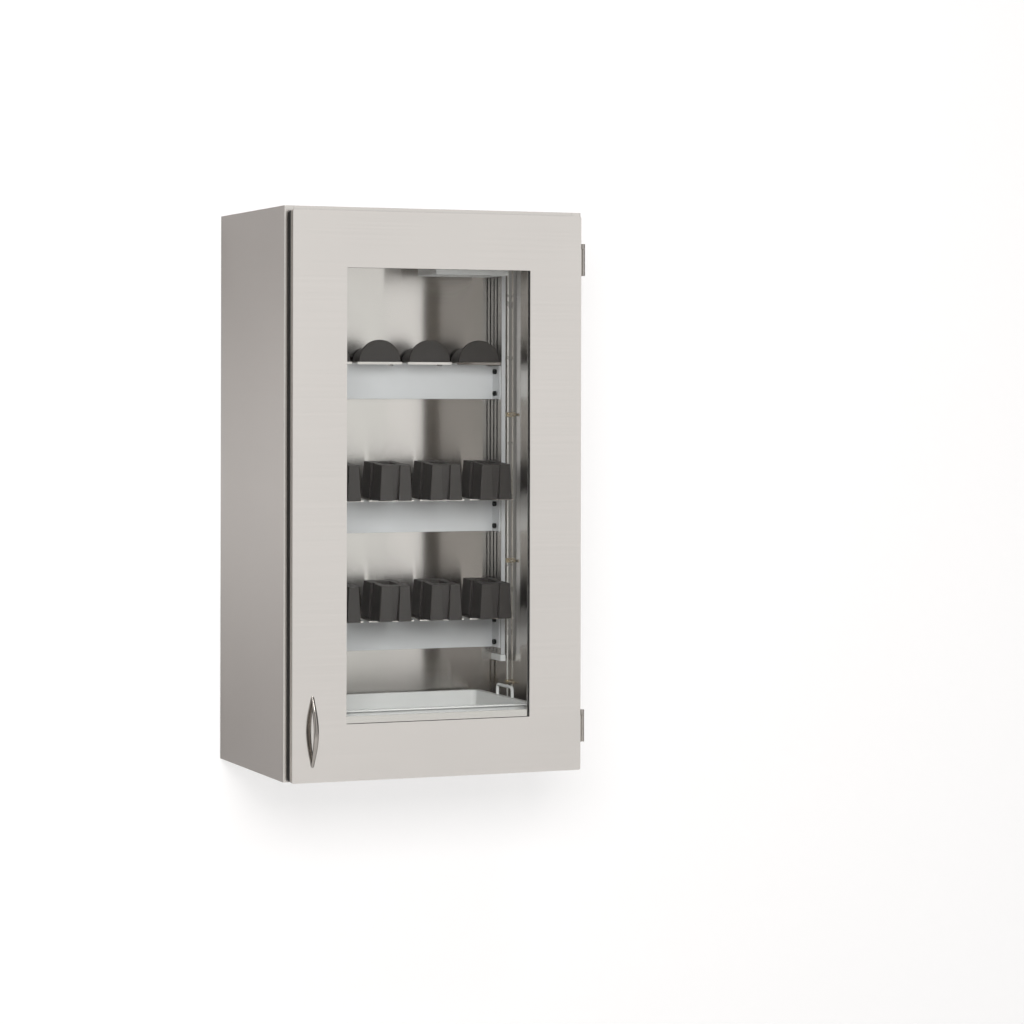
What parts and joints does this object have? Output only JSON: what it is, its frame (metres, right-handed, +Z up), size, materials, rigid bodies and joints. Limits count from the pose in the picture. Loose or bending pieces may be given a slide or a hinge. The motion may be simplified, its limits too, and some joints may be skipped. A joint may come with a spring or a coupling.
{
  "type": "wall cabinet",
  "caption": "Wall-hung stainless steel scope cabinet with a framed glass door on side hinges, rows of hangers and tapered holders on slotted rails, and a lift-out drip tray.",
  "frame": {"origin": "centre of the back panel's outer face, on the wall plane", "axes": "+X to the right seen from the front, +Y into the wall, +Z up; the door faces -Y"},
  "size_m": [0.5115, 0.3833, 0.91],
  "materials": {
    "brushed_steel": "brushed stainless steel",
    "satin_aluminium": "satin anodised",
    "satin_pull": "satin nickel",
    "chrome": "polished",
    "glass": "clear float glass",
    "black_rubber": "matt black",
    "dark_plastic": "fine moulded texture",
    "white_plastic": "smooth white",
    "lens": "opal diffuser",
    "black_screw": "black oxide"
  },
  "bodies": {
    "case": {"left_side_panel": "brushed_steel", "right_side_panel": "brushed_steel", "top_panel": "brushed_steel", "bottom_panel": "brushed_steel", "back_panel": "brushed_steel", "left_rail": "satin_aluminium", "right_rail": "satin_aluminium", "left_rail_cap": "white_plastic", "right_rail_cap": "white_plastic", "upper_bar": "satin_aluminium", "middle_bar": "satin_aluminium", "lower_bar": "satin_aluminium", "upper_bar_screw_left_low": "black_screw", "upper_bar_screw_left_high": "black_screw", "upper_bar_screw_right_low": "black_screw", "upper_bar_screw_right_high": "black_screw", "middle_bar_screw_left_low": "black_screw", "middle_bar_screw_left_high": "black_screw", "middle_bar_screw_right_low": "black_screw", "middle_bar_screw_right_high": "black_screw", "lower_bar_screw_left_low": "black_screw", "lower_bar_screw_left_high": "black_screw", "lower_bar_screw_right_low": "black_screw", "lower_bar_screw_right_high": "black_screw", "hanger_1": "dark_plastic", "hanger_2": "dark_plastic", "hanger_3": "dark_plastic", "hanger_4": "dark_plastic", "hanger_5": "dark_plastic", "middle_holder_1": "dark_plastic", "middle_holder_2": "dark_plastic", "middle_holder_3": "dark_plastic", "middle_holder_4": "dark_plastic", "middle_holder_5": "dark_plastic", "lower_holder_1": "dark_plastic", "lower_holder_2": "dark_plastic", "lower_holder_3": "dark_plastic", "lower_holder_4": "dark_plastic", "lower_holder_5": "dark_plastic", "light_housing": "white_plastic", "light_lens": "lens", "air_tube": "chrome", "air_nozzle_1": "chrome", "air_nozzle_2": "chrome", "air_nozzle_3": "chrome", "lower_hinge_case_leaf": "brushed_steel", "lower_hinge_pin": "brushed_steel", "upper_hinge_case_leaf": "brushed_steel", "upper_hinge_pin": "brushed_steel"},
    "door": {"door_skin": "brushed_steel", "door_inner_pan": "brushed_steel", "window_glass": "glass", "glazing_gasket": "black_rubber", "door_seal": "black_rubber", "pull_handle": "satin_pull", "lower_hinge_door_leaf": "brushed_steel", "upper_hinge_door_leaf": "brushed_steel"},
    "tray": {"drip_tray": "white_plastic", "tray_handle_left": "white_plastic", "tray_handle_right": "white_plastic"}
  },
  "joints": [
    {"name": "door_swing", "type": "hinge", "parent": "case", "child": "door", "pos_m": [0.2526, -0.354, 0], "axis": [0, 0, 1], "range_deg": [0, 170]},
    {"name": "tray_lift", "type": "slide", "parent": "case", "child": "tray", "axis": [0, 0, 1], "range_m": [0, 0.1]}
  ]
}
